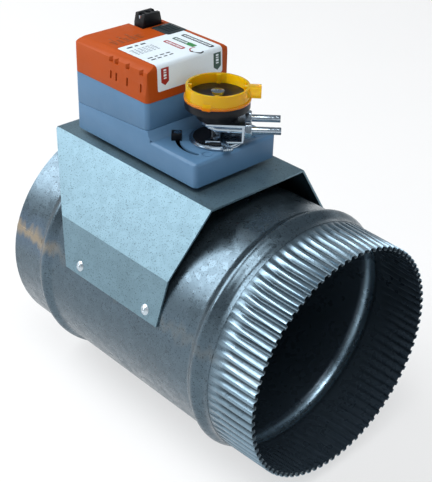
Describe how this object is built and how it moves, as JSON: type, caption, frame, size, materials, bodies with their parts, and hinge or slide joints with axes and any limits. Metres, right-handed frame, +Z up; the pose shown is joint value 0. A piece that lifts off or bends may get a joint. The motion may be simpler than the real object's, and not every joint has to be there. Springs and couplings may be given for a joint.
{
  "type": "motorized duct damper",
  "caption": "Round galvanised duct section with a motor-driven damper blade on a vertical shaft, a saddle bracket and a direct-coupled rotary actuator on top.",
  "frame": {"origin": "centre of the duct's plain mouth, on the duct axis", "axes": "+X along the duct axis to the crimped end, +Z up along the blade shaft to the actuator, +Y to the side of the terminal plug and the release button"},
  "size_m": [0.224, 0.16, 0.2427],
  "materials": {
    "galvanised_duct": "galvanised sheet, soft sheen",
    "galvanised_bracket": "galvanised sheet, fine spangle",
    "galvanised_blade": "galvanised sheet",
    "rivet_aluminium": "bright, rolled",
    "bright_steel": "zinc plated, bright",
    "spring_clip_steel": "phosphated",
    "bushing_nylon": "satin",
    "housing_blue_grey": "fine grained",
    "cover_orange": "satin, lightly grained",
    "hub_bush_tan": "satin",
    "gear_plastic": "satin",
    "pinion_brass": "cut",
    "motor_steel": "plated can",
    "board_green": "solder mask",
    "black_plastic": "satin",
    "button_grey_green": "satin",
    "spring_steel": "drawn wire",
    "seal_rubber": "matte",
    "indicator_amber": "translucent, glossy"
  },
  "bodies": {
    "damper_body": {"duct_tube": "galvanised_duct", "bracket": "galvanised_bracket", "bracket_rivets": "rivet_aluminium", "lower_bushing": "bushing_nylon", "upper_bushing": "bushing_nylon", "standoffs": "bright_steel", "mounting_screws": "bright_steel", "bottom_cover": "housing_blue_grey", "base_housing": "housing_blue_grey", "mid_housing": "housing_blue_grey", "top_cover": "cover_orange", "housing_screws": "bright_steel", "lower_hub_bush": "hub_bush_tan", "upper_hub_bush": "hub_bush_tan", "gear_pins": "bright_steel", "bearing_plate": "bright_steel", "motor_can": "motor_steel", "circuit_board": "board_green", "terminal_header": "black_plastic", "fixed_stop": "black_plastic", "fixed_stop_screw": "bright_steel", "button_spring": "spring_steel"},
    "blade_rotor": {"shaft": "bright_steel", "lower_clip": "spring_clip_steel", "upper_clip": "spring_clip_steel", "front_blade_plate": "galvanised_blade", "back_blade_plate": "galvanised_blade", "blade_seal": "seal_rubber", "blade_rivets": "rivet_aluminium", "blade_bolts": "bright_steel", "blade_nuts": "bright_steel", "output_gear": "black_plastic", "hub_ring": "bright_steel", "clamp_yoke": "bright_steel", "clamp_bolt": "bright_steel", "clamp_nuts": "bright_steel", "indicator_carrier": "black_plastic"},
    "indicator": {"indicator_ring": "indicator_amber"},
    "first_gear": {"first_gear": "gear_plastic"},
    "second_gear": {"second_gear": "gear_plastic"},
    "motor_rotor": {"motor_pinion": "pinion_brass"},
    "release_button": {"release_button": "button_grey_green"},
    "adjustable_stop": {"set_stop": "black_plastic", "set_stop_screw": "bright_steel"},
    "plug": {"terminal_plug": "black_plastic", "plug_screws": "bright_steel"}
  },
  "joints": [
    {"name": "blade_turn", "type": "hinge", "parent": "damper_body", "child": "blade_rotor", "pos_m": [0.112, 0, 0], "axis": [0, 0, -1], "range_deg": [0, 90]},
    {"name": "first_gear_turn", "type": "hinge", "parent": "damper_body", "child": "first_gear", "pos_m": [0.077, 0, 0], "axis": [0, 0, -1], "range_deg": [-435, 0]},
    {"name": "second_gear_turn", "type": "hinge", "parent": "damper_body", "child": "second_gear", "pos_m": [0.0562, 0, 0], "axis": [0, 0, -1], "range_deg": [0, 1450]},
    {"name": "motor_turn", "type": "hinge", "parent": "damper_body", "child": "motor_rotor", "pos_m": [0.0394, 0, 0], "axis": [0, 0, -1], "range_deg": [-4350, 0]},
    {"name": "indicator_turn", "type": "hinge", "parent": "blade_rotor", "child": "indicator", "pos_m": [0.112, 0, 0.131], "axis": [0, 0, -1], "range_deg": [-90, 90]},
    {"name": "release_press", "type": "slide", "parent": "damper_body", "child": "release_button", "axis": [0, 0, -1], "range_m": [0, 0.0025], "stiffness_N_per_m": 400, "springref_m": -0.001, "deforming": ["button_spring"]},
    {"name": "stop_setting", "type": "hinge", "parent": "damper_body", "child": "adjustable_stop", "pos_m": [0.112, 0, 0], "axis": [0, 0, 1], "range_deg": [0, 60]},
    {"name": "plug_pull", "type": "slide", "parent": "damper_body", "child": "plug", "axis": [0, 0, 1], "range_m": [0, 0.012]}
  ],
  "couplings": [
    {"joint": "first_gear_turn", "follows": "blade_turn", "ratio": -4.8333},
    {"joint": "second_gear_turn", "follows": "blade_turn", "ratio": 16.111},
    {"joint": "motor_turn", "follows": "blade_turn", "ratio": -48.333}
  ]
}
